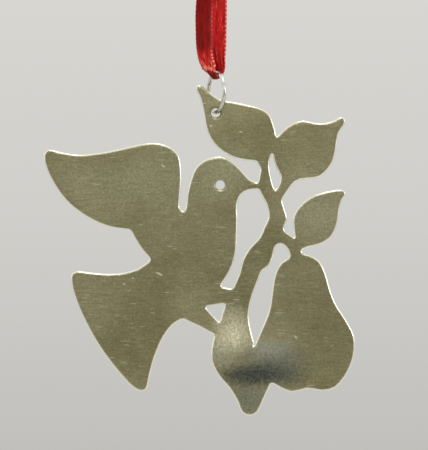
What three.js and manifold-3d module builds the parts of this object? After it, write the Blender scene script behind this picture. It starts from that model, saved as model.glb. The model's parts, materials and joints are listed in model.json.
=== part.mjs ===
// Hanging ornament: a bird with a pear branch in its beak, cut from one sheet of metal.
// A wire ring goes through the drilled hole in the upper leaf, and a ribbon loop through the ring.
// Millimetres, +Z up, the front face towards -Y. The origin is where a hook carries the ribbon,
// just under its knot.

import * as THREE from 'three';
import { mergeVertices } from 'three/addons/utils/BufferGeometryUtils.js';
import Module from 'manifold-3d';

const wasm = await Module();
wasm.setup();

// Driving dimensions
const SHEET_WIDTH = 66.3;         // cut sheet, from the wing's tip to the hanging pear
const SHEET_HEIGHT = 70.6;        // cut sheet, from the upper leaf's tip to the foot of the standing pear
const PLATE_THICKNESS = 1.5;      // sheet before tumbling
const EDGE_ROUND = 0.42;          // tumbled rounding of every cut edge
const EYE_HOLE = 2.0;             // drilled eye, diameter
const FACET = 1.6;                // longest straight step along a curved outline
const STRAIGHT = 1e-5;            // a corner whose triangle is smaller than this, in mm2, is no corner

const RING_WIRE = 0.9;            // wire diameter of the jump ring
const RING_BORE = 7.5;            // inside diameter of the jump ring
const RING_TURN = 24;             // degrees from the sheet's normal to the ring's plane
const RING_SPLIT = 0.12;          // butt gap between the two cut ends of the wire
const RING_SPLIT_AT = 150;        // degrees round the ring from its near side, upwards
const RING_PLAY = 0.72;           // how much wider the drilled hole is than the slanted wire
const RING_SEAT = 0.18;           // how far the wire rests from the middle of the hole
const RING_LEAN = 45;             // degrees from the top of the hole, to the right, where it rests

const RIBBON_WIDTH = 3.2;
const RIBBON_THICKNESS = 0.2;     // two-sided satin with its slack
const RIBBON_DROP = 26.64;        // from the hook down to the middle of the ribbon under the ring
const RIBBON_RING_GAP = 0.64;     // clearance under the wire that the ribbon carries
const BIGHT_HALF = 0.9;           // from the ring's plane to the ribbon on each side of the wire
const BIGHT_RISE = 1.0;           // how far the ribbon has risen there from its lowest point
const KNOT_WIDTH = 4.6;
const KNOT_HEIGHT = 3.4;
const KNOT_SEAT = 1.2;            // height of the knot's underside above the hook
const KNOT_GAP = 0.3;             // clearance between the knot and the strands it ties
const TAIL_LENGTH = 9;            // free ends above the knot
const TAIL_SPREAD = 16;           // degrees that each tail leans from upright

// Worked out from the driving dimensions
const SLANT = THREE.MathUtils.degToRad(RING_TURN);
const RING_ANGLE = RING_TURN - 90;
const STRAIGHT_WALL = PLATE_THICKNESS - 2 * EDGE_ROUND;
const HANGING_HOLE = RING_WIRE / Math.cos(SLANT) + STRAIGHT_WALL * Math.tan(SLANT) + RING_PLAY;
const RING_RADIUS = (RING_BORE + RING_WIRE) / 2;
const RING_SIDE = RING_SEAT * Math.sin(THREE.MathUtils.degToRad(RING_LEAN));
const RING_TOP = -RIBBON_DROP + RIBBON_THICKNESS / 2 + RIBBON_RING_GAP + RING_WIRE / 2;
const RING_CENTRE = RING_TOP - RING_RADIUS;
const RING_BOTTOM = RING_CENTRE - RING_RADIUS;
const HOLE_HEIGHT = RING_BOTTOM - RING_SEAT * Math.cos(THREE.MathUtils.degToRad(RING_LEAN));
const BIGHT_X = BIGHT_HALF * Math.cos(SLANT);
const BIGHT_Y = BIGHT_HALF * Math.sin(SLANT);

// Solids

function solid(geometry) {
  const bare = new THREE.BufferGeometry();
  const source = geometry.index ? geometry.toNonIndexed() : geometry;
  bare.setAttribute('position', source.getAttribute('position'));
  const merged = mergeVertices(bare, 1e-4);
  const mesh = new wasm.Mesh({
    numProp: 3,
    vertProperties: new Float32Array(merged.getAttribute('position').array),
    triVerts: new Uint32Array(merged.index.array),
  });
  return new wasm.Manifold(mesh);
}

function geometryOf(body) {
  const mesh = body.getMesh();
  const geometry = new THREE.BufferGeometry();
  geometry.setAttribute('position', new THREE.BufferAttribute(mesh.vertProperties, 3));
  geometry.setIndex(new THREE.BufferAttribute(mesh.triVerts, 1));
  geometry.computeVertexNormals();
  return geometry;
}

function join(bodies) {
  return bodies.reduce((whole, body) => whole.add(body));
}

function named(name, geometry, material) {
  const mesh = new THREE.Mesh(geometry, material);
  mesh.name = name;
  return mesh;
}

// Cut sheet
// The silhouette is joined from its motifs. Each motif is a closed outline of smooth runs
// that meet at corners, measured from the hanging hole, x to the right and y up. A motif runs on
// a little inside its neighbour, so the pierced openings are what the motifs leave free.

const upperLeaf = [
  [[-3.45, 6.0], [-2.8, 5.65], [-0.3, 3.6], [1.4, 2.7], [3.5, 2.4], [7.3, 1.6], [9.9, 0.8], [11.4, -0.3],
    [12.3, -2.2], [13.0, -5.2], [12.6, -7.3], [11.4, -10.4]],
  [[8.9, -10.5], [5.6, -10.1], [3.1, -9.3], [0.4, -7.5], [-1.2, -5.4], [-2.1, -3.0], [-2.7, 0.3],
    [-3.4, 3.3], [-4.2, 5.0], [-4.05, 5.75], [-3.45, 6.0]],
];

const rightLeaf = [
  [[12.6, -5.6], [14.3, -3.8], [16.5, -2.2], [18.6, -1.6], [21.0, -2.1], [23.6, -2.1], [25.4, -1.5],
    [26.8, -0.8], [27.7, -1.6], [27.3, -2.9], [26.3, -4.4], [25.8, -7.4], [25.2, -10.0], [24.1, -12.0],
    [22.2, -13.7], [20.1, -14.1], [17.6, -14.4], [15.6, -15.4]],
  [[13.9, -14.9], [13.7, -13.3], [12.8, -11.5], [12.2, -9.4], [12.0, -7.8]],
];

const lowerLeaf = [
  [[17.4, -28.1], [16.8, -26.4], [16.5, -24.0], [16.6, -21.9], [17.7, -20.1], [19.9, -18.1], [22.6, -17.0],
    [26.9, -16.4], [27.8, -17.2], [27.0, -18.7], [26.5, -20.3], [26.2, -22.7], [25.3, -25.6], [24.2, -27.0],
    [22.0, -28.2], [19.8, -28.7], [18.2, -29.3]],
];

const hangingPear = [
  [[18.3, -29.9], [19.9, -30.3], [22.1, -31.6], [23.4, -34.0], [24.5, -37.8], [25.6, -40.6], [28.0, -44.4],
    [29.5, -47.4], [29.7, -50.2], [29.1, -53.3], [27.6, -56.3], [25.5, -58.6], [23.0, -59.3], [19.4, -58.9],
    [16.3, -59.6], [14.2, -58.9], [11.9, -57.6]],
  [[9.5, -54.5], [7.4, -51.6], [8.5, -48.9], [10.1, -45.3], [11.3, -42.2], [11.9, -38.6], [12.3, -35.7],
    [12.9, -33.6], [14.0, -31.9], [15.8, -30.7], [16.6, -30.2]],
];

const trunk = [
  [[10.6, -7.8], [8.8, -10.6], [9.5, -12.0], [9.0, -14.6], [9.5, -17.2], [10.8, -19.6], [11.2, -22.3],
    [10.3, -24.3], [9.4, -26.4], [7.2, -28.8], [5.8, -31.2], [4.9, -34.4], [3.5, -37.6], [1.9, -41.0],
    [0.8, -44.6], [-0.3, -47.4]],
  [[2.6, -50.2], [7.4, -51.6]],
  [[8.3, -49.0], [7.6, -46.3], [7.1, -43.2], [7.8, -39.4], [9.2, -35.6], [10.0, -33.7], [11.4, -32.7],
    [12.3, -30.5], [12.7, -28.8], [13.4, -28.0]],
  [[14.9, -27.0], [14.5, -24.7]],
  [[14.5, -24.7], [15.3, -22.6], [14.9, -20.9], [14.1, -18.5]],
  [[12.7, -16.6], [12.0, -14.3], [11.5, -11.3], [11.7, -9.5], [12.7, -7.4]],
];

const standingPear = [
  [[3.4, -44.6], [-0.3, -47.4]],
  [[-0.3, -47.4], [-0.9, -50.0], [-0.9, -52.9], [0.5, -55.9], [3.0, -58.9], [4.6, -61.6], [5.6, -63.9],
    [7.3, -64.6], [8.9, -63.9], [10.2, -61.3], [11.9, -57.6]],
  [[13.2, -54.0], [8.0, -50.4]],
];

const fork = [
  [[13.0, -20.6], [14.2, -18.6], [15.8, -16.2], [17.0, -14.8], [18.4, -14.2]],
  [[15.2, -12.4], [13.8, -13.6]],
  [[13.8, -13.6], [13.6, -14.9], [12.7, -16.6], [11.6, -18.8]],
];

const twig = [
  [[13.4, -23.2], [14.6, -25.0], [15.9, -26.0], [17.0, -26.7]],
  [[18.9, -27.9], [18.4, -29.5], [19.2, -31.0]],
  [[16.6, -31.8], [15.8, -30.5], [15.3, -29.2], [14.3, -28.2], [13.3, -28.0], [12.2, -27.6]],
];

const birdBody = [
  [[-8.6, -19.0], [-7.6, -20.1], [-7.0, -21.1], [-6.4, -20.2], [-6.1, -17.4], [-5.3, -14.2], [-4.3, -11.8],
    [-2.6, -10.2], [-0.4, -9.4], [1.3, -9.3], [3.1, -10.1], [5.4, -12.1], [7.2, -14.1], [9.4, -15.0]],
  [[10.2, -15.8], [9.4, -16.4]],
  [[9.4, -16.4], [7.1, -16.6], [5.5, -17.5], [4.7, -19.2], [4.7, -22.0], [4.6, -26.6], [4.3, -30.2],
    [3.2, -33.6], [1.1, -37.0]],
  [[3.6, -37.5], [3.6, -40.5]],
  [[-2.1, -41.4], [1.4, -45.4]],
  [[0.6, -47.7], [-1.6, -46.7], [-3.4, -45.7], [-5.4, -44.8], [-7.0, -44.0]],
  [[-8.6, -43.2], [-10.0, -38.0], [-12.7, -32.9]],
  [[-13.9, -31.3], [-15.7, -29.3], [-17.0, -27.3], [-18.2, -25.1], [-18.9, -23.4]],
];

const wing = [
  [[-7.6, -22.6], [-7.6, -19.0], [-7.3, -15.2], [-7.3, -11.8], [-7.8, -9.2], [-9.4, -7.5], [-11.9, -6.5],
    [-13.9, -6.4], [-17.2, -6.9], [-21.2, -7.9], [-25.3, -8.6], [-29.2, -8.9], [-33.2, -8.3], [-35.6, -7.8],
    [-36.6, -9.0], [-36.1, -11.8], [-34.0, -16.0], [-31.2, -19.5], [-27.1, -22.5], [-22.8, -24.4],
    [-18.2, -25.1], [-16.2, -25.4]],
];

const tail = [
  [[-12.6, -30.0], [-13.9, -31.3], [-16.4, -33.1], [-19.3, -34.0], [-22.8, -34.3], [-26.8, -34.0],
    [-29.5, -33.7], [-30.7, -34.4], [-30.8, -36.1], [-29.8, -40.0], [-27.6, -45.0], [-24.4, -50.5],
    [-20.4, -55.7], [-17.6, -58.6], [-15.9, -59.4], [-14.7, -58.9], [-13.9, -55.8], [-12.9, -52.2],
    [-11.0, -47.8], [-9.1, -45.3], [-7.0, -44.0], [-5.0, -43.0]],
];

const motifs = [
  upperLeaf, rightLeaf, lowerLeaf, hangingPear, standingPear, trunk, fork, twig, birdBody, wing, tail,
];
const eyeCentre = [1.0, -15.4];

// The drawing is stretched to the sheet's width and height.
const drawing = new THREE.Box2().setFromPoints(motifs.flat(2).map(([x, y]) => new THREE.Vector2(x, y)));
const stretch = new THREE.Vector2(SHEET_WIDTH, SHEET_HEIGHT).divide(drawing.getSize(new THREE.Vector2()));

function place([x, y]) {
  return new THREE.Vector3(x * stretch.x, y * stretch.y, 0);
}

function outline(motif) {
  const points = [];
  for (const run of motif) {
    const corners = run.map(place);
    points.push(corners[0]);
    if (corners.length === 2) points.push(corners[1]);
    if (corners.length < 3) continue;
    const curve = new THREE.CatmullRomCurve3(corners, false, 'centripetal');
    const spans = corners.length - 1;
    for (let span = 0; span < spans; span += 1) {
      const steps = Math.max(2, Math.ceil(corners[span].distanceTo(corners[span + 1]) / FACET));
      for (let step = 1; step <= steps; step += 1) points.push(curve.getPoint((span + step / steps) / spans));
    }
  }
  // A corner shared by two runs is kept once, and a point on a straight run is left out.
  const apart = points.filter((point, index) => point.distanceTo(points.at(index - 1)) > FACET / 50);
  const turning = apart.filter((point, index) => {
    const next = apart[(index + 1) % apart.length];
    return Math.abs(THREE.ShapeUtils.area([apart.at(index - 1), point, next])) > STRAIGHT;
  });
  return new THREE.Shape(turning.map((point) => new THREE.Vector2(point.x, point.y)));
}

function sheet(shape) {
  const geometry = new THREE.ExtrudeGeometry(shape, {
    depth: STRAIGHT_WALL,
    steps: 1,
    bevelEnabled: true,
    bevelThickness: EDGE_ROUND,
    bevelSize: EDGE_ROUND,
    bevelOffset: -EDGE_ROUND,
    bevelSegments: 2,
  });
  geometry.translate(0, 0, EDGE_ROUND - PLATE_THICKNESS / 2);
  return solid(geometry);
}

// A drilled hole with the same tumbled rounding at both mouths.
function drill(diameter, centre) {
  const radius = diameter / 2;
  const half = PLATE_THICKNESS / 2;
  const outside = half + PLATE_THICKNESS;
  const mouth = [];
  for (let step = 0; step <= 2; step += 1) {
    const angle = (step / 2) * Math.PI / 2;
    mouth.push(new THREE.Vector2(
      radius + EDGE_ROUND * (1 - Math.cos(angle)),
      half - EDGE_ROUND * (1 - Math.sin(angle)),
    ));
  }
  const upper = [...mouth, new THREE.Vector2(radius + EDGE_ROUND, outside), new THREE.Vector2(0, outside)];
  const lower = [...upper].reverse().map((point) => new THREE.Vector2(point.x, -point.y));
  const cutter = new THREE.LatheGeometry([...lower, ...upper], 24);
  cutter.rotateX(Math.PI / 2);
  cutter.translate(centre.x, centre.y, 0);
  return solid(cutter);
}

function cutPlate() {
  const blank = join(motifs.map(outline).map(sheet));
  const pierced = blank
    .subtract(drill(HANGING_HOLE, place([0, 0])))
    .subtract(drill(EYE_HOLE, place(eyeCentre)));
  const geometry = geometryOf(pierced);
  geometry.rotateX(Math.PI / 2);
  geometry.translate(0, 0, HOLE_HEIGHT);
  return geometry;
}

// Jump ring
// One turn of round wire whose two cut ends butt together. Its plane stands upright, turned so
// that the near side lies to the right of the hole.

class RingTurn extends THREE.Curve {
  getPoint(t) {
    const gap = RING_SPLIT / RING_RADIUS;
    const angle = THREE.MathUtils.degToRad(RING_SPLIT_AT) + gap / 2 + t * (2 * Math.PI - gap);
    return new THREE.Vector3(RING_RADIUS * Math.cos(angle), 0, RING_RADIUS * Math.sin(angle));
  }
}

function jumpRing() {
  const section = new THREE.Shape();
  section.absarc(0, 0, RING_WIRE / 2, 0, 2 * Math.PI);
  return new THREE.ExtrudeGeometry(section, {
    extrudePath: new RingTurn(),
    steps: 48,
    curveSegments: 6,
    bevelEnabled: false,
  });
}

// Ribbon
// The route of the loop, from the knot down the left strand, under the ring's wire and up the right
// strand. Each row is x, y, z, the turn of the ribbon's width in degrees from facing the front, and
// how much of its width is left where the ribbon is gathered in the ring.

const RIBBON_ROUTE = [
  [0.0, -1.0, KNOT_SEAT - KNOT_GAP, 0, 1],
  [0.0, -2.2, -1.0, 0, 1],
  [-0.1, -2.7, -3.4, 0, 1],
  [-0.9, -2.1, -6.2, 0, 1],
  [-2.2, -1.0, -9.2, 0, 1],
  [-2.6, -0.3, -12.6, 0, 1],
  [-2.6, -0.2, -16.4, 0, 1],
  [-2.45, -0.2, 6.6 - RIBBON_DROP, -4, 1],
  [-2.1, -0.3, 4.1 - RIBBON_DROP, -22, 0.94],
  [-1.3, -0.4, 2.3 - RIBBON_DROP, -50, 0.86],
  [RING_SIDE - BIGHT_X, -BIGHT_Y, BIGHT_RISE - RIBBON_DROP, RING_ANGLE, 0.8],
  [RING_SIDE, 0.0, -RIBBON_DROP, RING_ANGLE, 0.78],
  [RING_SIDE + BIGHT_X, BIGHT_Y, BIGHT_RISE - RIBBON_DROP, RING_ANGLE, 0.8],
  [1.0, 0.45, 2.4 - RIBBON_DROP, -52, 0.86],
  [0.7, 0.4, 4.2 - RIBBON_DROP, -30, 0.94],
  [0.62, 0.35, 6.8 - RIBBON_DROP, -8, 1],
  [0.65, 0.25, -16.4, 0, 1],
  [0.7, 0.3, -12.6, 0, 1],
  [0.7, 1.0, -9.2, 0, 1],
  [0.4, 2.1, -6.2, 0, 1],
  [0.1, 2.7, -3.4, 0, 1],
  [0.0, 2.2, -1.0, 0, 1],
  [0.0, 1.0, KNOT_SEAT - KNOT_GAP, 0, 1],
];

function ribbonSection() {
  const side = 1 / 2;
  const soft = side - RIBBON_THICKNESS / RIBBON_WIDTH / 3;
  const face = RIBBON_THICKNESS / 2;
  return new THREE.Shape([
    [side, -face / 2], [side, face / 2], [soft, face], [-soft, face],
    [-side, face / 2], [-side, -face / 2], [-soft, -face], [soft, -face],
  ].map(([x, y]) => new THREE.Vector2(x, y)));
}

// A straight strip of unit width and unit length, bent along the route.
function ribbonLoop() {
  const route = new THREE.CatmullRomCurve3(
    RIBBON_ROUTE.map(([x, y, z]) => new THREE.Vector3(x, y, z)), false, 'centripetal',
  );
  const lie = new THREE.CatmullRomCurve3(
    RIBBON_ROUTE.map(([, , , turn, gather]) => new THREE.Vector3(turn, gather, 0)), false, 'catmullrom', 0.5,
  );
  const strip = new THREE.ExtrudeGeometry(ribbonSection(), { depth: 1, steps: 66, bevelEnabled: false });
  const position = strip.getAttribute('position');
  for (let index = 0; index < position.count; index += 1) {
    const t = Math.min(1, Math.max(0, position.getZ(index)));
    const { x: turn, y: gather } = lie.getPoint(t);
    const along = route.getTangent(t);
    const across = new THREE.Vector3(1, 0, 0).applyAxisAngle(
      new THREE.Vector3(0, 0, 1), THREE.MathUtils.degToRad(turn),
    );
    across.addScaledVector(along, -across.dot(along)).normalize();
    const facing = new THREE.Vector3().crossVectors(along, across);
    const spot = route.getPoint(t)
      .addScaledVector(across, position.getX(index) * RIBBON_WIDTH * gather)
      .addScaledVector(facing, position.getY(index));
    position.setXYZ(index, spot.x, spot.y, spot.z);
  }
  return strip;
}

// The knot that ties both ends, with the two short tails that stand out of it.
function ribbonKnot() {
  const half = KNOT_WIDTH / 2;
  const low = KNOT_SEAT;
  const high = KNOT_SEAT + KNOT_HEIGHT;
  const profile = new THREE.Path();
  profile.moveTo(0, low);
  profile.lineTo(half * 0.62, low);
  profile.quadraticCurveTo(half, low + KNOT_HEIGHT * 0.1, half, low + KNOT_HEIGHT * 0.45);
  profile.quadraticCurveTo(half, high - KNOT_HEIGHT * 0.05, half * 0.55, high);
  profile.lineTo(0, high);
  const lump = new THREE.LatheGeometry(profile.getPoints(4), 16);
  lump.rotateX(Math.PI / 2);
  lump.scale(1, 0.8, 1);
  const tails = [-1, 1].map((side) => {
    const tail = new THREE.BoxGeometry(RIBBON_WIDTH, RIBBON_THICKNESS, TAIL_LENGTH + KNOT_HEIGHT / 2);
    tail.translate(0, 0, (TAIL_LENGTH + KNOT_HEIGHT / 2) / 2);
    tail.rotateY(THREE.MathUtils.degToRad(side * TAIL_SPREAD));
    tail.translate(side * 0.4, side * RIBBON_THICKNESS, high - KNOT_HEIGHT / 2);
    return solid(tail);
  });
  return geometryOf(join([solid(lump), ...tails]));
}

// Assembly

const polishedSheet = new THREE.MeshStandardMaterial({ color: 0x9c9878, roughness: 0.38, metalness: 1 });
const brightWire = new THREE.MeshStandardMaterial({ color: 0xd8d8d2, roughness: 0.25, metalness: 1 });
const redSatin = new THREE.MeshStandardMaterial({ color: 0xa5161b, roughness: 0.45, metalness: 0 });

const ring = named('jump_ring', jumpRing(), brightWire);
ring.position.set(RING_SIDE, 0, RING_CENTRE);
ring.rotation.z = THREE.MathUtils.degToRad(RING_ANGLE);

const ornament = new THREE.Group();
ornament.add(
  named('cut_plate', cutPlate(), polishedSheet),
  ring,
  named('ribbon_loop', ribbonLoop(), redSatin),
  named('ribbon_knot', ribbonKnot(), redSatin),
);

export default ornament;
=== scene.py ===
import json
import math

import bmesh
import bpy
import numpy as np
from mathutils import Matrix, Vector, noise


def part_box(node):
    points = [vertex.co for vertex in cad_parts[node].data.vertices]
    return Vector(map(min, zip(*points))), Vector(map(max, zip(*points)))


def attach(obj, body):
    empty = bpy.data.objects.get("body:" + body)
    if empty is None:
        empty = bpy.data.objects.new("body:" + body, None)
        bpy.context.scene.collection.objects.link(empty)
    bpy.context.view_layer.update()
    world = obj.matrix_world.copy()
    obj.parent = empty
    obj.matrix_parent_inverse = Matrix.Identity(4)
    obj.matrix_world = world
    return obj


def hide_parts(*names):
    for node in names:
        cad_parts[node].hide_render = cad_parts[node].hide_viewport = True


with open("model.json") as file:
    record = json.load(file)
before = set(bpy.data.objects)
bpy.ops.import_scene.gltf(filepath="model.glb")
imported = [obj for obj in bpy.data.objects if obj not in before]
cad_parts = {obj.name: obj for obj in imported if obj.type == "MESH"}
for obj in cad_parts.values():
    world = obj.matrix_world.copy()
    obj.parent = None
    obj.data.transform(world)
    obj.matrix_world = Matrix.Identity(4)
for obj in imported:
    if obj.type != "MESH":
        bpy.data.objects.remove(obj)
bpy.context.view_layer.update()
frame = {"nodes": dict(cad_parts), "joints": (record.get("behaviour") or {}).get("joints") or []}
bpy.ops.object.select_all(action="DESELECT")

# Camera
# The picture is taken straight from the front. The hanging hole of the sheet is at HOLE_PIXEL in
# it, and one pixel covers PIXEL of the sheet. Lengths below are in mm, and MM makes them metres.
MM = 0.001
PICTURE = (428, 450)
HOLE_PIXEL = (215.6, 112.8)
PIXEL = 0.2133 * MM
CAMERA_BACK = 400 * MM
FILM = 36

joint_at = {joint["name"]: Vector(joint["pos_m"]) for joint in frame["joints"]}
hole = joint_at["plate_swing"]
aim = hole + PIXEL * Vector((PICTURE[0] / 2 - HOLE_PIXEL[0], 0, HOLE_PIXEL[1] - PICTURE[1] / 2))
bpy.ops.object.camera_add(location=aim - Vector((0, CAMERA_BACK, 0)), rotation=(math.pi / 2, 0, 0))
camera = bpy.context.object
camera.data.sensor_width = FILM
camera.data.lens = FILM * CAMERA_BACK / (PICTURE[1] * PIXEL)
camera.data.clip_start = 10 * MM
bpy.context.scene.camera = camera

# Ribbon loop
# One length of polyester satin ribbon, 3.2 mm wide, woven with a firm selvedge. Its outer face is
# painted darker, as painted shade. It hangs from the knot in two strands and is gathered where it
# passes under the ring's wire.
RIBBON_WIDTH = 3.2
RIBBON_THICKNESS = 0.2
RIBBON_DROP = 26.64
KNOT_SEAT = 1.2
KNOT_GAP = 0.3
BIGHT_HALF = 0.9
BIGHT_RISE = 1.0
RING_TURN = 24
RING_ANGLE = RING_TURN - 90
STRIP_STEP = 0.12
STRIP_CELLS = 30
SELVEDGE = 0.13
SELVEDGE_BEAD = 0.5
PICOT_PITCH = 0.95
PICOT_DEPTH = 0.2
CUPPING = 0.08
CREASE = 0.3
CREASE_AT = 26.8
CREASE_SLANT = 0.7
CREASE_WIDTH = 0.4
# The crease also carries a painted glint, this strong.
CREASE_PAINTED_GLINT = 1.5
CUT_BLEND = 4
PLEATS = 3.2
PLEAT_WANDER = 0.7
PLEAT_BENDS = 0.9
SPAN_SAMPLES = 60
YARN_PITCH = 0.2
WEFT_PITCH = 0.31

ring_centre = joint_at["ring_turn"]
ring_side = ring_centre.x / MM
bight_x = BIGHT_HALF * math.cos(math.radians(RING_TURN))
bight_y = BIGHT_HALF * math.sin(math.radians(RING_TURN))

# Each row is x, y, z, the turn of the ribbon's width from facing the front, the share of its width
# that is left, the depth of its pleats, and how bright its outer face is painted there: painted shade
# at 0, lit at 1, and a painted glint above 1.
RIBBON_ROUTE = [
    [0.0, -1.0, KNOT_SEAT - KNOT_GAP, 0, 0.6, 0.2, 0],
    [0.0, -2.2, -1.0, 0, 0.84, 0.1, 0],
    [-0.1, -2.7, -3.4, 0, 1, 0, 0],
    [-0.9, -2.1, -6.2, 0, 1, 0, 0],
    [-2.2, -1.0, -9.2, 0, 1, 0, 0],
    [-2.6, -0.3, -12.6, -6, 1, 0, 0],
    [-2.6, -0.2, -16.4, -10, 1, 0.02, 0],
    [-2.45, -0.2, 6.6 - RIBBON_DROP, -10, 1, 0.05, 0.1],
    # Above the bight the left strand's outer face holds a painted glint.
    [-2.1, -0.3, 4.1 - RIBBON_DROP, -20, 0.97, 0.14, 1.5],
    [-1.3, -0.4, 2.3 - RIBBON_DROP, -38, 0.98, 0.22, 2],
    [ring_side - bight_x, -bight_y, BIGHT_RISE - RIBBON_DROP, RING_ANGLE, 0.95, 0.24, 0.2],
    [ring_side, 0.0, -RIBBON_DROP, RING_ANGLE, 0.85, 0.10, 0.2],
    [ring_side + bight_x, bight_y, BIGHT_RISE - RIBBON_DROP, RING_ANGLE + 10, 0.9, 0.14, 0.2],
    [1.0, 0.45, 2.4 - RIBBON_DROP, -34, 0.82, 0.16, 0],
    [0.7, 0.4, 4.2 - RIBBON_DROP, -18, 0.88, 0.12, 0],
    [0.62, 0.35, 6.8 - RIBBON_DROP, 2, 0.97, 0.05, 0],
    [0.65, 0.25, -16.4, 8, 1, 0.02, 0],
    [0.7, 0.3, -12.6, 6, 1, 0, 0],
    [0.7, 1.0, -9.2, 0, 1, 0, 0],
    [0.4, 2.1, -6.2, 0, 1, 0, 0],
    [0.1, 2.7, -3.4, 0, 1, 0, 0],
    [0.0, 2.2, -1.0, 0, 0.84, 0.1, 0],
    [0.0, 1.0, KNOT_SEAT - KNOT_GAP, 0, 0.6, 0.2, 0],
]


def smooth_route(rows, step, closed=False):
    """Evenly spaced rows on the centripetal Catmull-Rom line through rows, which start with a place."""
    rows = np.array(rows, float)
    if closed:
        rows = np.vstack([rows[-1], rows, rows[:2]])
    else:
        rows = np.vstack([2 * rows[0] - rows[1], rows, 2 * rows[-1] - rows[-2]])
    knots = np.append(0, np.cumsum(np.linalg.norm(np.diff(rows[:, :3], axis=0), axis=1) ** 0.5))
    fine = []
    for i in range(1, len(rows) - 2):
        t0, t1, t2, t3 = knots[i - 1:i + 3]
        t = np.linspace(t1, t2, SPAN_SAMPLES, endpoint=False)[:, None]
        a1 = ((t1 - t) * rows[i - 1] + (t - t0) * rows[i]) / (t1 - t0)
        a2 = ((t2 - t) * rows[i] + (t - t1) * rows[i + 1]) / (t2 - t1)
        a3 = ((t3 - t) * rows[i + 1] + (t - t2) * rows[i + 2]) / (t3 - t2)
        b1 = ((t2 - t) * a1 + (t - t0) * a2) / (t2 - t0)
        b2 = ((t3 - t) * a2 + (t - t1) * a3) / (t3 - t1)
        fine.append(((t2 - t) * b1 + (t - t1) * b2) / (t2 - t1))
    fine = np.vstack([*fine, rows[-2]])
    far = np.append(0, np.cumsum(np.linalg.norm(np.diff(fine[:, :3], axis=0), axis=1)))
    even = np.linspace(0, far[-1], max(2, round(far[-1] / step)) + 1)
    return np.column_stack([np.interp(even, far, column) for column in fine.T])


def ribbon_strip(name, rows, cut=0, crease_at=None, upright=False):
    """A closed, thin strip along rows, with its width level, or upright. Its far end is cut slanting
    by cut to each side, and a crease runs across it at crease_at along it. Also returns its path."""
    line = smooth_route(rows, STRIP_STEP)
    place, turn, (gather, pleat, painted_brightness) = line[:, :3], np.radians(line[:, 3]), line[:, 4:].T
    along = np.gradient(place, axis=0)
    along /= np.linalg.norm(along, axis=1)[:, None]
    level = np.column_stack([np.cos(turn), np.sin(turn), np.zeros(len(turn))])
    across = np.tile([0.0, 0.0, -1.0], (len(turn), 1)) if upright else level
    across -= along * np.sum(across * along, axis=1)[:, None]
    across /= np.linalg.norm(across, axis=1)[:, None]
    facing = np.cross(along, across)
    far = np.arange(len(line)) * STRIP_STEP
    u = np.sin(np.linspace(-math.pi / 2, math.pi / 2, STRIP_CELLS + 1))
    half = RIBBON_THICKNESS / 2 * np.sqrt(1 - np.abs(u) ** 8) * (1 + SELVEDGE_BEAD * np.abs(u) ** 10)
    sides = [(value, half[i]) for i, value in enumerate(u)]
    sides += [(value, -half[i]) for i, value in list(enumerate(u))[-2:0:-1]]
    vertices, marks, shiny = [], [], []
    for i in range(len(line)):
        picot = PICOT_DEPTH * math.sin(2 * math.pi * far[i] / PICOT_PITCH)
        selvedge = SELVEDGE * (1 - PICOT_DEPTH + picot)
        for value, thick in sides:
            sway = PLEATS * math.pi * value + PLEAT_WANDER * math.sin(PLEAT_BENDS * far[i])
            bend = pleat[i] * (0.5 + math.cos(sway) + 0.3 * math.sin(2.3 * sway)) - CUPPING * value ** 2
            ridge = 0
            if crease_at:
                past = (far[i] - crease_at - CREASE_SLANT * value) / CREASE_WIDTH
                ridge = math.exp(-past ** 2)
            bend += CREASE * ridge
            reach = value * (RIBBON_WIDTH / 2 * gather[i] + selvedge * abs(value) ** 6)
            slant = cut * value * max(0, 1 - (far[-1] - far[i]) / CUT_BLEND)
            spot = place[i] + across[i] * reach + facing[i] * (thick + bend) + along[i] * slant
            vertices.append(Vector(spot) * MM)
            marks.append(((value + 1) / 2, far[i] / RIBBON_WIDTH))
            # The outer face is painted from the route's painted light, with a painted glint on its left
            # half and along the crease; the inner face is painted lit.
            front_painted_light = painted_brightness[i] - max(0, painted_brightness[i] - 1) * (1 + value) / 2 + CREASE_PAINTED_GLINT * ridge ** 2
            shiny.append(front_painted_light if thick > 0 else 1.0)
    turns = len(sides)
    faces = [list(range(turns))[::-1], [len(vertices) - turns + k for k in range(turns)]]
    for i in range(len(line) - 1):
        for k in range(turns):
            a, b = i * turns + k, i * turns + (k + 1) % turns
            faces.append([a, b, b + turns, a + turns])
    mesh = bpy.data.meshes.new(name)
    mesh.from_pydata(vertices, [], faces)
    across_along = mesh.uv_layers.new(name="across_along")
    for corner in mesh.loops:
        across_along.data[corner.index].uv = marks[corner.vertex_index]
    mesh.attributes.new("shiny", "FLOAT", "POINT").data.foreach_set("value", shiny)
    piece = bpy.data.objects.new(name, mesh)
    bpy.context.collection.objects.link(piece)
    bpy.ops.object.select_all(action="DESELECT")
    piece.select_set(True)
    bpy.context.view_layer.objects.active = piece
    bpy.ops.object.mode_set(mode="EDIT")
    bpy.ops.mesh.select_all(action="SELECT")
    bpy.ops.mesh.normals_make_consistent(inside=False)
    bpy.ops.object.mode_set(mode="OBJECT")
    bpy.ops.object.shade_smooth_by_angle(angle=math.radians(60))
    return piece, [list(Vector(spot) * MM) for spot in place]


def colour(tone):
    """The linear colour of an sRGB hex value, or of a linear grey."""
    if not isinstance(tone, str):
        return (tone, tone, tone, 1)
    values = [int(tone[i:i + 2], 16) / 255 for i in (0, 2, 4)]
    return (*[v / 12.92 if v <= 0.04045 else ((v + 0.055) / 1.055) ** 2.4 for v in values], 1)


def new_material(name):
    """A material with an empty node tree."""
    material = bpy.data.materials.new(name)
    material.use_nodes = True
    material.node_tree.nodes.clear()
    return material


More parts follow.
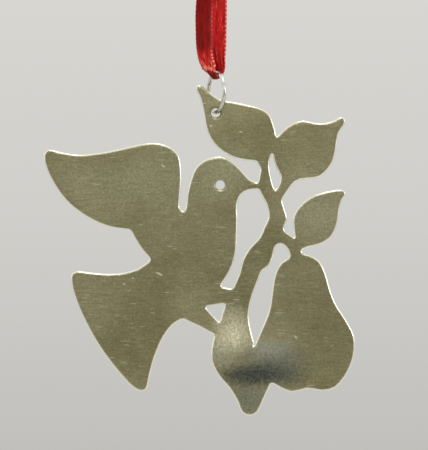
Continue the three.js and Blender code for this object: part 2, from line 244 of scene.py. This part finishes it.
def add_node(owner, kind, settings=None, **inputs):
    """A node of that kind in a material or world, with its settings. An input, called by its name or
    by _ and its number, takes a value, or a link from a socket or from a node's first output in use."""
    node = owner.node_tree.nodes.new(kind)
    for name, value in (settings or {}).items():
        if name != "stops":
            setattr(node, name, value)
            continue
        elements = node.color_ramp.elements
        elements[0].position, elements[-1].position = value[0][0], value[-1][0]
        for position, _ in value[1:-1]:
            elements.new(position)
        for element, (_, tone) in zip(elements, value):
            element.color = colour(tone)
    for name, value in inputs.items():
        socket = node.inputs[int(name[1:])] if name[0] == "_" else node.inputs[name.replace("_", " ")]
        if isinstance(value, bpy.types.Node):
            value = next(output for output in value.outputs if output.enabled)
        if isinstance(value, bpy.types.NodeSocket):
            owner.node_tree.links.new(value, socket)
        else:
            socket.default_value = colour(value) if socket.type == "RGBA" else value
    return node


MIX = {"data_type": "RGBA"}
MULTIPLY = {**MIX, "blend_type": "MULTIPLY"}


def satin_ribbon():
    """Polyester satin: long floats of filament yarn along the ribbon. Its colour holds painted light: the
    outer face darker as painted shade, painted glints, and painted highlights along the selvedge."""
    made = new_material("polyester satin, red")
    uv = add_node(made, "ShaderNodeUVMap", {"uv_map": "across_along"})
    # Filament yarns of 0.13 mm, drawn 0.2 mm apart so that they show.
    streaks = add_node(made, "ShaderNodeMapping", Vector=uv, Scale=(RIBBON_WIDTH / YARN_PITCH, 1.3, 1))
    streak = add_node(made, "ShaderNodeTexNoise", Vector=streaks, Scale=1, Detail=3, Roughness=0.6)
    # Slubs are 0.8 mm wide and about 3 mm long.
    slubs = add_node(made, "ShaderNodeMapping", Vector=uv, Scale=(4, 1.1, 1))
    slub = add_node(made, "ShaderNodeTexNoise", Vector=slubs, Scale=1, Detail=2)
    # Painted light: the outer face takes a darker colour as painted shade, the lit face the bright colour,
    # and above 1 a painted coral glint lifts the streaks.
    face = add_node(made, "ShaderNodeAttribute", {"attribute_name": "shiny"}).outputs["Fac"]
    glint = add_node(made, "ShaderNodeMapRange", Value=face, From_Min=1, From_Max=2, To_Max=0.22)
    lift = add_node(made, "ShaderNodeMath", {"operation": "ADD"}, _0=streak, _1=glint)
    bright = add_node(made, "ShaderNodeValToRGB", {"stops": (
        (0.3, "960a11"), (0.48, "bc131b"), (0.62, "d0221f"), (0.69, "ff8c7c"))}, Fac=lift)
    painted_shade_face = add_node(made, "ShaderNodeValToRGB", {"stops": ((0.3, "6a080c"), (0.7, "980f14"))}, Fac=streak)
    body = add_node(made, "ShaderNodeMix", MIX, _0=face, _6=painted_shade_face, _7=bright)
    tone = add_node(made, "ShaderNodeValToRGB", {"stops": ((0.35, "c8c8c8"), (0.65, "ffffff"))}, Fac=slub)
    shaded = add_node(made, "ShaderNodeMix", MULTIPLY, _0=1.0, _6=body, _7=tone)
    parts = add_node(made, "ShaderNodeSeparateXYZ", Vector=uv)
    middle = add_node(made, "ShaderNodeMath", {"operation": "SUBTRACT"}, _0=parts.outputs["X"], _1=0.5)
    edge = add_node(made, "ShaderNodeMath", {"operation": "ABSOLUTE"}, _0=middle)
    selvedge = add_node(made, "ShaderNodeMapRange", Value=edge, From_Min=0.4, From_Max=0.45)
    # Weft yarns turn back at the selvedge about every 0.3 mm. The selvedge band is painted lighter as a
    # painted highlight: faintly on the outer face, and on the lit face bunched into picots 0.95 mm apart,
    # those on the right more than those on the left.
    picks = add_node(made, "ShaderNodeMath", {"operation": "MULTIPLY"}, _0=parts.outputs["Y"],
                     _1=2 * math.pi * RIBBON_WIDTH / WEFT_PITCH)
    pick = add_node(made, "ShaderNodeMath", {"operation": "SINE"}, _0=picks)
    outer = add_node(made, "ShaderNodeValToRGB", {"stops": ((0.1, "6a080c"), (0.9, "a8383c"))}, Fac=pick)
    bunches = add_node(made, "ShaderNodeMath", {"operation": "MULTIPLY"}, _0=parts.outputs["Y"],
                       _1=2 * math.pi * RIBBON_WIDTH / PICOT_PITCH)
    picot = add_node(made, "ShaderNodeMath", {"operation": "SINE"}, _0=bunches)
    side = add_node(made, "ShaderNodeMapRange", Value=parts.outputs["X"], To_Min=0.3, To_Max=0.9)
    gleam = add_node(made, "ShaderNodeMath", {"operation": "MULTIPLY"}, _0=picot, _1=side)
    inner = add_node(made, "ShaderNodeValToRGB", {"stops": (
        (0.0, "c93c3e"), (0.4, "e0706c"), (1.0, "f9aca6"))}, Fac=gleam)
    knots = add_node(made, "ShaderNodeMix", MIX, _0=face, _6=outer, _7=inner)
    painted = add_node(made, "ShaderNodeMix", MIX, _0=selvedge, _6=shaded, _7=knots)
    height = add_node(made, "ShaderNodeMath", {"operation": "MULTIPLY"}, _0=pick, _1=selvedge)
    relief = add_node(made, "ShaderNodeMath", {"operation": "MULTIPLY_ADD"}, _0=streak, _1=1.2, _2=height)
    bump = add_node(made, "ShaderNodeBump", Strength=0.55, Distance=0.03 * MM, Height=relief)
    rough = add_node(made, "ShaderNodeMapRange", Value=slub, To_Min=0.34, To_Max=0.5)
    shader = add_node(made, "ShaderNodeBsdfPrincipled", Base_Color=painted, Roughness=rough, Normal=bump,
                      Specular_Tint="ff8a70")
    add_node(made, "ShaderNodeOutputMaterial", Surface=shader)
    return made


red_satin = satin_ribbon()
loop, loop_path = ribbon_strip("satin_ribbon_loop", RIBBON_ROUTE, crease_at=CREASE_AT)
loop.data.materials.append(red_satin)
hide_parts("ribbon_loop")
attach(loop, "ribbon")

# Ribbon knot
# Both ends of the ribbon are tied in one overhand knot above the hook, and the two short tails are
# cut slanting. The knot is soft: the ribbon is crushed into folds where it goes round itself.
KNOT_HEIGHT = 3.4
KNOT_HALF = (1.95, 1.5, 2.0)
KNOT_FOLDS = 9
FOLD_DEPTH = 0.12
FOLD_SLANT = 2.6
WRAP_RISE = 0.75
WRAP_STEPS = 14
WRAP_TURN = 1.9
WRAP_CLEAR = 1.06
WRAP_SPREAD = 0.05
WRAP_GATHER = 0.62
WRAP_PLEAT = 0.13
TAIL_CUT = 0.9
knot_middle = KNOT_SEAT + KNOT_HEIGHT / 2
knot_top = KNOT_SEAT + KNOT_HEIGHT

bpy.ops.object.select_all(action="DESELECT")
bpy.ops.mesh.primitive_uv_sphere_add(segments=90, ring_count=44, radius=1)
knot = bpy.context.object
knot.name = "satin_ribbon_knot"
lump = bmesh.new()
lump.from_mesh(knot.data)
shiny = lump.verts.layers.float.new("shiny")
for vertex in lump.verts:
    x, y, z = vertex.co
    crest = math.sin(KNOT_FOLDS * math.atan2(y, x) + FOLD_SLANT * z)
    fold = 1 + FOLD_DEPTH * crest * math.sqrt(max(0, 1 - z * z))
    vertex.co = Vector((x * KNOT_HALF[0] * fold, y * KNOT_HALF[1] * fold,
                        knot_middle + z * KNOT_HALF[2])) * MM
    # The knot's colour is painted light from the right: lit on its right side, painted shade on its left.
    vertex[shiny] = 0.5 + 0.5 * x
lump.to_mesh(knot.data)
lump.free()
knot.data.uv_layers.active.name = "across_along"
bpy.ops.object.shade_smooth()

# One turn of the ribbon goes round the folds, from the lower back left to the upper back right.
wrap_rows = []
for i in range(WRAP_STEPS + 1):
    turn = (i / WRAP_STEPS - 0.5) * WRAP_TURN * math.pi
    away = WRAP_CLEAR + WRAP_SPREAD * abs(turn) / math.pi
    wrap_rows.append([away * KNOT_HALF[0] * math.sin(turn), -away * KNOT_HALF[1] * math.cos(turn),
                      knot_middle + WRAP_RISE * math.sin(turn / 2), math.degrees(turn),
                      WRAP_GATHER, WRAP_PLEAT, 1])
parts = [knot]
wrap, _ = ribbon_strip("knot_wrap", wrap_rows, upright=True)
parts.append(wrap)
for side in (-1, 1):
    tail, _ = ribbon_strip(f"tail_{side}", [
        [side * 0.3, 0.2 * side, knot_top - 1.4, 0, 0.45, 0.22, 1],
        [side * 0.7, 0.25 * side, knot_top + 0.4, side * 10, 0.62, 0.2, 1],
        [side * 1.3, 0.1 * side, knot_top + 2.4, side * 22, 0.9, 0.1, 1],
        [side * 1.95, -0.2 * side, knot_top + 4.6, side * 26, 1, 0.03, 1],
        [side * 2.6, -0.45 * side, knot_top + 6.8, side * 18, 1, 0, 1],
        [side * 3.15, -0.3 * side, knot_top + 8.6, side * 8, 1, 0, 1],
    ], cut=side * TAIL_CUT)
    parts.append(tail)

# Under the knot the two strands of the loop go up into it, crushed.
for side in (-1, 1):
    throat, _ = ribbon_strip(f"throat_{side}", [
        [0, side * 1.1, KNOT_SEAT - KNOT_GAP - 0.2, 0, 0.62, 0.2, 1],
        [0, side * 0.9, KNOT_SEAT + 0.3, 0, 0.56, 0.2, 1],
        [0, side * 0.6, KNOT_SEAT + 1.2, 0, 0.5, 0.2, 1],
    ])
    parts.append(throat)

bpy.ops.object.select_all(action="DESELECT")
for part in parts:
    part.select_set(True)
bpy.context.view_layer.objects.active = knot
bpy.ops.object.join()
knot.data.materials.clear()
knot.data.materials.append(red_satin)
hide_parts("ribbon_knot")
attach(knot, "ribbon")

# Jump ring
# One turn of bright drawn aluminium wire, sheared at both ends and closed by hand, so a fine butt
# joint is left between the two cut faces.
RING_WIRE = 0.9
RING_BORE = 7.5
RING_SPLIT = 0.12
RING_SPLIT_AT = 150
WIRE_SIDES = 28
RING_STEPS = 144
END_CHAMFER = 0.05
ring_radius = (RING_BORE + RING_WIRE) / 2

near = Vector((math.cos(math.radians(RING_ANGLE)), math.sin(math.radians(RING_ANGLE)), 0))
up = Vector((0, 0, 1))
gap_angle = RING_SPLIT / ring_radius
start = math.radians(RING_SPLIT_AT) + gap_angle / 2
radial = near * math.cos(start) + up * math.sin(start)
axis = near.cross(up)
stand = Matrix((radial, axis, radial.cross(axis))).transposed().to_euler()

# The wire's round section is spun about the middle of the ring, all the way but for the split.
bpy.ops.object.select_all(action="DESELECT")
bpy.ops.mesh.primitive_circle_add(
    vertices=WIRE_SIDES, radius=RING_WIRE / 2 * MM, fill_type="NGON",
    location=ring_centre + radial * ring_radius * MM, rotation=stand)
ring = bpy.context.object
ring.name = "wire_jump_ring"
bpy.ops.object.transform_apply(location=True, rotation=True, scale=True)
bpy.ops.object.mode_set(mode="EDIT")
bpy.ops.mesh.select_all(action="SELECT")
bpy.ops.mesh.spin(steps=RING_STEPS, angle=-(2 * math.pi - gap_angle), center=ring_centre, axis=axis)
bpy.ops.mesh.select_all(action="SELECT")
bpy.ops.mesh.remove_doubles(threshold=1e-6)
bpy.ops.mesh.normals_make_consistent(inside=False)
bpy.ops.object.mode_set(mode="OBJECT")
ring_mesh = bmesh.new()
ring_mesh.from_mesh(ring.data)
ends = [face for face in ring_mesh.faces if len(face.verts) == WIRE_SIDES]
bmesh.ops.bevel(ring_mesh, geom=[edge for face in ends for edge in face.edges],
                offset=END_CHAMFER * MM, segments=2, profile=0.5, affect="EDGES")
ring_mesh.to_mesh(ring.data)
ring_mesh.free()
bpy.ops.object.shade_smooth_by_angle(angle=math.radians(35))


def drawn_wire():
    """Bright drawn aluminium: near mirror bright, with faint scuffs left by the pliers."""
    made = new_material("aluminium wire, bright drawn")
    place = add_node(made, "ShaderNodeTexCoord").outputs["Object"]
    # Scuffs lie about 0.6 mm apart, and duller stretches about 2 mm apart.
    scuffs = add_node(made, "ShaderNodeTexNoise", Vector=place, Scale=1.6 / MM, Detail=3, Roughness=0.5)
    marks = add_node(made, "ShaderNodeTexNoise", Vector=place, Scale=0.45 / MM, Detail=2)
    tone = add_node(made, "ShaderNodeValToRGB", {"stops": ((0.3, "c2c3bc"), (0.7, "dedfd8"))}, Fac=marks)
    rough = add_node(made, "ShaderNodeMapRange", Value=scuffs, To_Min=0.12, To_Max=0.24)
    bump = add_node(made, "ShaderNodeBump", Strength=0.12, Distance=0.01 * MM, Height=scuffs)
    shader = add_node(made, "ShaderNodeBsdfPrincipled", Base_Color=tone, Metallic=1.0, Roughness=rough,
                      Normal=bump)
    add_node(made, "ShaderNodeOutputMaterial", Surface=shader)
    return made


ring.data.materials.append(drawn_wire())
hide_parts("jump_ring")
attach(ring, "ring")

# Cut sheet
# One flat blank of 1.5 mm sheet, sawn or blanked to the outline, drilled twice and tumbled, which
# rounds every cut edge and leaves it brighter than the flat faces.
SHEET_THICKNESS = 1.5
EDGE_ROUND = 0.5
EDGE_STEPS = 5
OUTLINE_STEP = 0.3
CORNER_ANGLE = 40
CORNER_ARM = 0.4
CORNER_POINTS = 9
GRID = 1.25
EDGE_WEAR = 0.05
WEAR_LENGTH = 0.7
DRILLED_REACH = 1.7
DRILLED_RUB = 0.06
UNEVEN = 0.06
UNEVEN_LENGTH = 9
BULGE = 0.55
BULGE_AT = (4.2, -86.2)
BULGE_SPREAD = (7, 4.6)
RAGGED = 5
SPOT_DEPTH = 0.7

# The outlines are those of the modelled sheet at its middle plane, walked round one by one.
source = bmesh.new()
source.from_mesh(frame["nodes"]["cut_plate"].data)
bmesh.ops.remove_doubles(source, verts=source.verts, dist=1e-6)
bmesh.ops.bisect_plane(source, geom=[*source.verts, *source.edges, *source.faces], plane_co=(0, 0, 0),
                       plane_no=(0, 1, 0), clear_inner=True, clear_outer=True)
bmesh.ops.remove_doubles(source, verts=source.verts, dist=1e-6)
loops, seen = [], set()
for first in source.verts:
    if first in seen or len(first.link_edges) != 2:
        continue
    walk, vertex, edge = [], first, first.link_edges[0]
    while vertex not in seen:
        seen.add(vertex)
        walk.append((vertex.co.x / MM, vertex.co.z / MM))
        edge = next(other for other in vertex.link_edges if other is not edge)
        vertex = edge.other_vert(vertex)
    loops.append(np.array(walk))
source.free()


def turning(points):
    """The angle in degrees by which a closed outline turns at each point."""
    into = points - np.roll(points, 1, axis=0)
    away = np.roll(points, -1, axis=0) - points
    cross = into[:, 0] * away[:, 1] - into[:, 1] * away[:, 0]
    return np.degrees(np.arctan2(cross, np.sum(into * away, axis=1)))


def softened(points):
    """A closed outline without its facets, with a small round in each sharp corner."""
    apart = np.linalg.norm(points - np.roll(points, 1, axis=0), axis=1) > 0.4 * OUTLINE_STEP
    points = points[apart]
    corners = np.flatnonzero(turning(points) < -CORNER_ANGLE)
    if len(corners) == 0:
        return smooth_route(points, OUTLINE_STEP, closed=True)[:-1]
    points = np.roll(points, -corners[0], axis=0)
    corners = [*(corners - corners[0]), len(points)]
    points = np.vstack([points, points[:1]])
    stretches = []
    for low, high in zip(corners, corners[1:]):
        line = smooth_route(points[low:high + 1], OUTLINE_STEP)
        from_ends = np.min([np.linalg.norm(line - end, axis=1) for end in (line[0], line[-1])], axis=0)
        stretches.append(line[from_ends > min(CORNER_ARM, 0.7 * max(from_ends))])
    softer = []
    for i, line in enumerate(stretches):
        before, corner, after = stretches[i - 1][-1], points[corners[i]], line[0]
        for t in np.linspace(0, 1, CORNER_POINTS + 2)[1:-1]:
            softer.append((1 - t) ** 2 * before + 2 * t * (1 - t) * corner + t ** 2 * after)
        softer.extend(line)
    return np.array(softer)


outline = bpy.data.curves.new("cut_outline", "CURVE")
outline.dimensions = "2D"
outline.fill_mode = "BOTH"
outline.extrude = (SHEET_THICKNESS / 2 - EDGE_ROUND) * MM
outline.bevel_depth = EDGE_ROUND * MM
outline.bevel_resolution = EDGE_STEPS
outline.offset = -EDGE_ROUND * MM
loops.sort(key=lambda walk: -np.ptp(walk[:, 0]))
for walk in loops:
    across, rise = walk.T
    area = np.sum(across * np.roll(rise, -1) - rise * np.roll(across, -1))
    points = softened(walk if (area > 0) == (walk is loops[0]) else walk[::-1])
    spline = outline.splines.new("POLY")
    spline.points.add(len(points) - 1)
    spline.points.foreach_set("co", np.column_stack(
        [points * MM, np.zeros(len(points)), np.ones(len(points))]).ravel())
    spline.use_cyclic_u = True
sheet = bpy.data.objects.new("cut_sheet", outline)
bpy.context.collection.objects.link(sheet)
bpy.ops.object.select_all(action="DESELECT")
sheet.select_set(True)
bpy.context.view_layer.objects.active = sheet
bpy.ops.object.convert(target="MESH")
sheet = bpy.context.object
sheet.rotation_euler = (math.pi / 2, 0, 0)
bpy.ops.object.transform_apply(location=False, rotation=True, scale=False)

# Cuts in a grid give the flat faces the points that let them bulge and waver.
blank = bmesh.new()
blank.from_mesh(sheet.data)
bmesh.ops.remove_doubles(blank, verts=blank.verts, dist=2e-6)
bmesh.ops.dissolve_limit(blank, angle_limit=math.radians(0.5), verts=blank.verts, edges=blank.edges)
bmesh.ops.recalc_face_normals(blank, faces=blank.faces)
low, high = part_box("cut_plate")
for lane, normal in (("x", (1, 0, 0)), ("z", (0, 0, 1))):
    reach = getattr(low, lane) + GRID / 2 * MM
    while reach < getattr(high, lane):
        bmesh.ops.bisect_plane(blank, geom=[*blank.verts, *blank.edges, *blank.faces], dist=1e-7,
                               plane_co=Vector(normal) * reach, plane_no=normal)
        reach += GRID * MM
drilled = [walk.mean(axis=0) for walk in loops[-2:]]
rim = blank.verts.layers.float.new("rim")
for vertex in blank.verts:
    x, y, z = vertex.co / MM
    vertex[rim] = min(1, (SHEET_THICKNESS / 2 - abs(y)) / EDGE_ROUND)
    worn = EDGE_WEAR * vertex[rim] * noise.noise((x / WEAR_LENGTH, y, z / WEAR_LENGTH))
    aside, above = (x - BULGE_AT[0]) / BULGE_SPREAD[0], (z - BULGE_AT[1]) / BULGE_SPREAD[1]
    bulge = BULGE * math.exp(-aside ** 2 - above ** 2)
    wave = UNEVEN * noise.noise((x / UNEVEN_LENGTH, 0, z / UNEVEN_LENGTH))
    vertex.co.y += MM * (wave - bulge - math.copysign(worn, y))
    # The mouths of the two drilled holes are rubbed less than the outer edges.
    if min(math.dist((x, z), middle) for middle in drilled) < DRILLED_REACH:
        vertex[rim] *= DRILLED_RUB
blank.to_mesh(sheet.data)
blank.free()
bpy.ops.object.shade_smooth_by_angle(angle=math.radians(40))
bpy.ops.object.modifier_add(type="WEIGHTED_NORMAL")
sheet.modifiers[-1].keep_sharp = True
bpy.ops.object.modifier_apply(modifier=sheet.modifiers[-1].name)


# Each patch is its middle, its reach to each side, its turn, how far out it starts to fade, how much
# it covers, and its colours in the pits and between them. Those of the third leaf, the wing and the
# head are broad, faint painted highlights, a paler skin where the upper sheet catches more light. The
# others are painted reflections over the standing pear and where the hanging pear joins it: greyer at
# the tip, a painted dark reflection under the bulge and a painted highlight above it.
PAINTED_LIGHT_PATCHES = [
    # Broad painted highlights on the third leaf, the wing and the head.
    ((22.5, -56.5), (11, 9), 0, 0.2, 0.75, "9c997b", "c6c3a5"),
    ((-12.0, -48.5), (22, 8), 0, 0.2, 0.55, "8e8b6c", "b8b596"),
    ((2.0, -46.5), (7, 8), 0, 0.2, 0.6, "9a9777", "c4c1a1"),
    # Painted reflections of the bulge over the pears, greyer at the tip.
    ((6.7, -94.8), (6, 5), 0, 0.3, 0.7, "666b5c", "94988a"),
    ((10.5, -86.6), (11.5, 4.6), 0, 0.35, 0.8, "666b5f", "8e9284"),
    ((10.3, -84.3), (7.2, 2.9), 0, 0.1, 0.65, "a6aa9c", "cdd1c2"),
    ((13.9, -90.0), (7.0, 3.5), 0, 0.25, 0.75, "434a49", "70756c"),
    ((6.6, -89.4), (8.8, 3.5), 0.05, 0.45, 0.95, "2c3234", "62675f"),
    ((2.0, -85.2), (5.8, 4.4), 0, 0.4, 0.95, "a6a88f", "d9dac1"),
    ((3.7, -81.4), (5.4, 7.4), 0, 0.25, 0.95, "b3b08c", "fff9dc"),
]

# Each nick is its middle, its reach to each side and its turn.
NICKS = [
    ((-12.0, -68.3), (1.05, 0.3), 0.45), ((-11.2, -45.3), (0.55, 0.2), 0.7),
    ((17.1, -81.8), (0.5, 0.24), 0.9), ((-1.0, -36.8), (0.4, 0.2), -0.6),
    ((5.4, -38.1), (0.5, 0.14), 0.3), ((4.35, -73.8), (0.95, 0.11), 0),
    ((-19.5, -70.5), (0.4, 0.2), 0.2), ((-17.6, -69.2), (0.3, 0.18), 1.2),
]


def spot_share(made, place, middle, reach, turn, inner, cover):
    """How much a spot on the front face covers: cover as far out as inner, and nothing at its edge."""
    spot = add_node(made, "ShaderNodeMapping", {"vector_type": "TEXTURE"}, Vector=place,
                    Location=Vector((middle[0], -SHEET_THICKNESS / 2, middle[1])) * MM,
                    Rotation=(0, turn, 0), Scale=Vector((reach[0], SPOT_DEPTH, reach[1])) * MM)
    far = add_node(made, "ShaderNodeVectorMath", {"operation": "LENGTH"}, _0=spot)
    return add_node(made, "ShaderNodeMapRange", Value=far, From_Min=inner, From_Max=1, To_Min=cover,
                    To_Max=0)


def tumbled_sheet():
    """Tumbled sheet metal: a warm grey satin skin with fine rubbed lines, nicks and bright edges, with
    painted highlights and painted dark reflections laid over it.
    """
    made = new_material("aluminium sheet, tumbled satin")
    place = add_node(made, "ShaderNodeTexCoord").outputs["Object"]
    # The skin's tone drifts over about 18 mm.
    cloud = add_node(made, "ShaderNodeTexNoise", Vector=place, Scale=0.055 / MM, Detail=2, Roughness=0.5)
    body = add_node(made, "ShaderNodeValToRGB", {"stops": ((0.38, "8e8966"), (0.62, "9f9a79"))}, Fac=cloud)

    # Rolled lines run across the sheet and rubbing lines down it, about 0.1 mm apart. They are drawn
    # 0.3 mm apart, so that they show.
    for turn, share in ((0, 0.13), (math.pi / 2, 0.1)):
        lines = add_node(made, "ShaderNodeMapping", Vector=place, Rotation=(0, turn, 0),
                         Scale=(0.4, 1, 3.2))
        rubbed = add_node(made, "ShaderNodeTexNoise", Vector=lines, Scale=1 / MM, Detail=3, Roughness=0.7)
        shade = add_node(made, "ShaderNodeValToRGB", {"stops": ((0.3, 1 - share), (0.7, 1 + share))},
                         Fac=rubbed)
        body = add_node(made, "ShaderNodeMix", MULTIPLY, _0=1.0, _6=body, _7=shade)
    # The tumbling media leave pits of 0.1 to 0.4 mm.
    pits = add_node(made, "ShaderNodeTexNoise", Vector=place, Scale=2.4 / MM, Detail=3, Roughness=0.8)
    depth = add_node(made, "ShaderNodeValToRGB", {"stops": ((0.3, 0.74), (0.7, 1.26))}, Fac=pits)
    body = add_node(made, "ShaderNodeMix", MULTIPLY, _0=1.0, _6=body, _7=depth)

    # Scratches are 1 to 3 mm long, and only where a broad noise lets them show.
    for turn, across in ((0.1, 0.33), (-0.45, 0.29), (1.35, 0.3)):
        run = add_node(made, "ShaderNodeMapping", Vector=place, Rotation=(0, turn, 0),
                       Scale=(0.35, 1, 3.4))
        score = add_node(made, "ShaderNodeTexNoise", Vector=run, Scale=1 / MM, Detail=0)
        where = add_node(made, "ShaderNodeTexNoise", Vector=place, Scale=across / MM, Detail=1)
        line = add_node(made, "ShaderNodeMapRange", Value=score, From_Min=0.71, From_Max=0.78, To_Max=0.8)
        shown = add_node(made, "ShaderNodeMapRange", Value=where, From_Min=0.58, From_Max=0.66)
        marks = add_node(made, "ShaderNodeMath", {"operation": "MULTIPLY"}, _0=line, _1=shown)
        body = add_node(made, "ShaderNodeMix", MIX, _0=marks, _6=body, _7="c4c2ab")

    # The patches have ragged edges. Over the bulge in the standing pear they are a painted highlight on
    # its upper side and a painted dark reflection under it.
    wander = add_node(made, "ShaderNodeTexNoise", Vector=place, Scale=1.1 / MM, Detail=5, Roughness=0.8)
    ragged = add_node(made, "ShaderNodeVectorMath", {"operation": "MULTIPLY_ADD"},
                      _0=wander.outputs["Color"], _1=(RAGGED * MM, 0, RAGGED * MM), _2=place)
    # Painted highlights and painted reflections laid over the skin.
    for (x, z), reach, turn, inner, cover, low, high in PAINTED_LIGHT_PATCHES:
        share = spot_share(made, ragged, (x + RAGGED / 2, z + RAGGED / 2), reach, turn, inner, cover)
        tone = add_node(made, "ShaderNodeValToRGB", {"stops": ((0.35, low), (0.65, high))}, Fac=pits)
        body = add_node(made, "ShaderNodeMix", MIX, _0=share, _6=body, _7=tone)
    for middle, reach, turn in NICKS:
        share = spot_share(made, place, middle, reach, turn, inner=0.5, cover=0.9)
        body = add_node(made, "ShaderNodeMix", MIX, _0=share, _6=body, _7="e0dec8")

    bump = add_node(made, "ShaderNodeBump", Strength=0.3, Distance=0.02 * MM, Height=pits)
    edge = add_node(made, "ShaderNodeAttribute", {"attribute_name": "rim"}).outputs["Fac"]
    worn = add_node(made, "ShaderNodeMapRange", Value=edge, From_Max=0.2)
    satin = add_node(made, "ShaderNodeMapRange", Value=cloud, To_Min=0.27, To_Max=0.35)
    rough = add_node(made, "ShaderNodeMix", _0=worn, _2=satin, _3=0.2)
    painted = add_node(made, "ShaderNodeMix", MIX, _0=worn, _6=body, _7="efeee4")
    shader = add_node(made, "ShaderNodeBsdfPrincipled", Base_Color=painted, Metallic=1.0, Roughness=rough,
                      Normal=bump)
    add_node(made, "ShaderNodeOutputMaterial", Surface=shader)
    return made


sheet.data.materials.clear()
sheet.data.materials.append(tumbled_sheet())
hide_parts("cut_plate")
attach(sheet, "plate")

# Studio
# A plain pale floor under the hanging ornament, a pale surround, and three soft lamps: above, to the
# right, and a window behind the camera.
FLOOR_DROP = 150
bpy.ops.object.select_all(action="DESELECT")
bpy.ops.mesh.primitive_plane_add(size=0.6, location=(0, 0, -FLOOR_DROP * MM))
floor = bpy.context.object
floor.name = "floor"
paper = new_material("matt paper, pale")
paper_place = add_node(paper, "ShaderNodeTexCoord").outputs["Object"]
fibre = add_node(paper, "ShaderNodeTexNoise", Vector=paper_place, Scale=1 / MM, Detail=2)
paper_tone = add_node(paper, "ShaderNodeValToRGB", {"stops": ((0.3, "d4d2cc"), (0.7, "dad8d2"))},
                      Fac=fibre)
matt = add_node(paper, "ShaderNodeBsdfPrincipled", Base_Color=paper_tone, Roughness=0.9)
add_node(paper, "ShaderNodeOutputMaterial", Surface=matt)
floor.data.materials.append(paper)

# The surround is brightest to the sides and a little above level. It is greyer straight ahead and
# behind, and darker below.
studio = bpy.data.worlds.new("studio")
bpy.context.scene.world = studio
studio.use_nodes = True
studio.node_tree.nodes.clear()
direction = add_node(studio, "ShaderNodeTexCoord").outputs["Generated"]
way = add_node(studio, "ShaderNodeSeparateXYZ", Vector=direction)
rise = add_node(studio, "ShaderNodeMapRange", Value=way.outputs["Z"], From_Min=-1, From_Max=1)
depth = add_node(studio, "ShaderNodeMapRange", Value=way.outputs["Y"], From_Min=-1, From_Max=1)
light = add_node(studio, "ShaderNodeValToRGB", {"stops": (
    (0.2, 0.5), (0.42, 0.8), (0.5, 1.0), (0.6, 1.15), (0.8, 1.1))}, Fac=rise)
walls = add_node(studio, "ShaderNodeValToRGB", {"stops": (
    (0.06, "bfbdb8"), (0.3, "fbfaf7"), (0.7, "f2f1ee"), (0.94, "cfceca"))}, Fac=depth)
tone = add_node(studio, "ShaderNodeMix", MULTIPLY, _0=1.0, _6=walls, _7=light)
surround = add_node(studio, "ShaderNodeBackground", Color=tone, Strength=1.0)
add_node(studio, "ShaderNodeOutputWorld", Surface=surround)

# Each lamp is its place and its side in metres, and its power in watts. It is square and aimed at the
# middle of the picture.
LAMPS = {
    "top": ((0.03, -0.14, 0.3), 0.15, 0.36),
    "right": ((0.4, -0.2, 0.04), 0.15, 0.28),
    "window": ((-0.02, -0.42, 0.14), 0.16, 0.2),
}
for name, (spot, side, power) in LAMPS.items():
    bpy.ops.object.light_add(type="AREA", location=spot)
    lamp = bpy.context.object
    lamp.name = name
    lamp.data.energy = power
    lamp.data.size = side
    lamp.rotation_euler = (aim - Vector(spot)).to_track_quat("-Z", "Y").to_euler()

bpy.context.scene.view_settings.view_transform = "Standard"
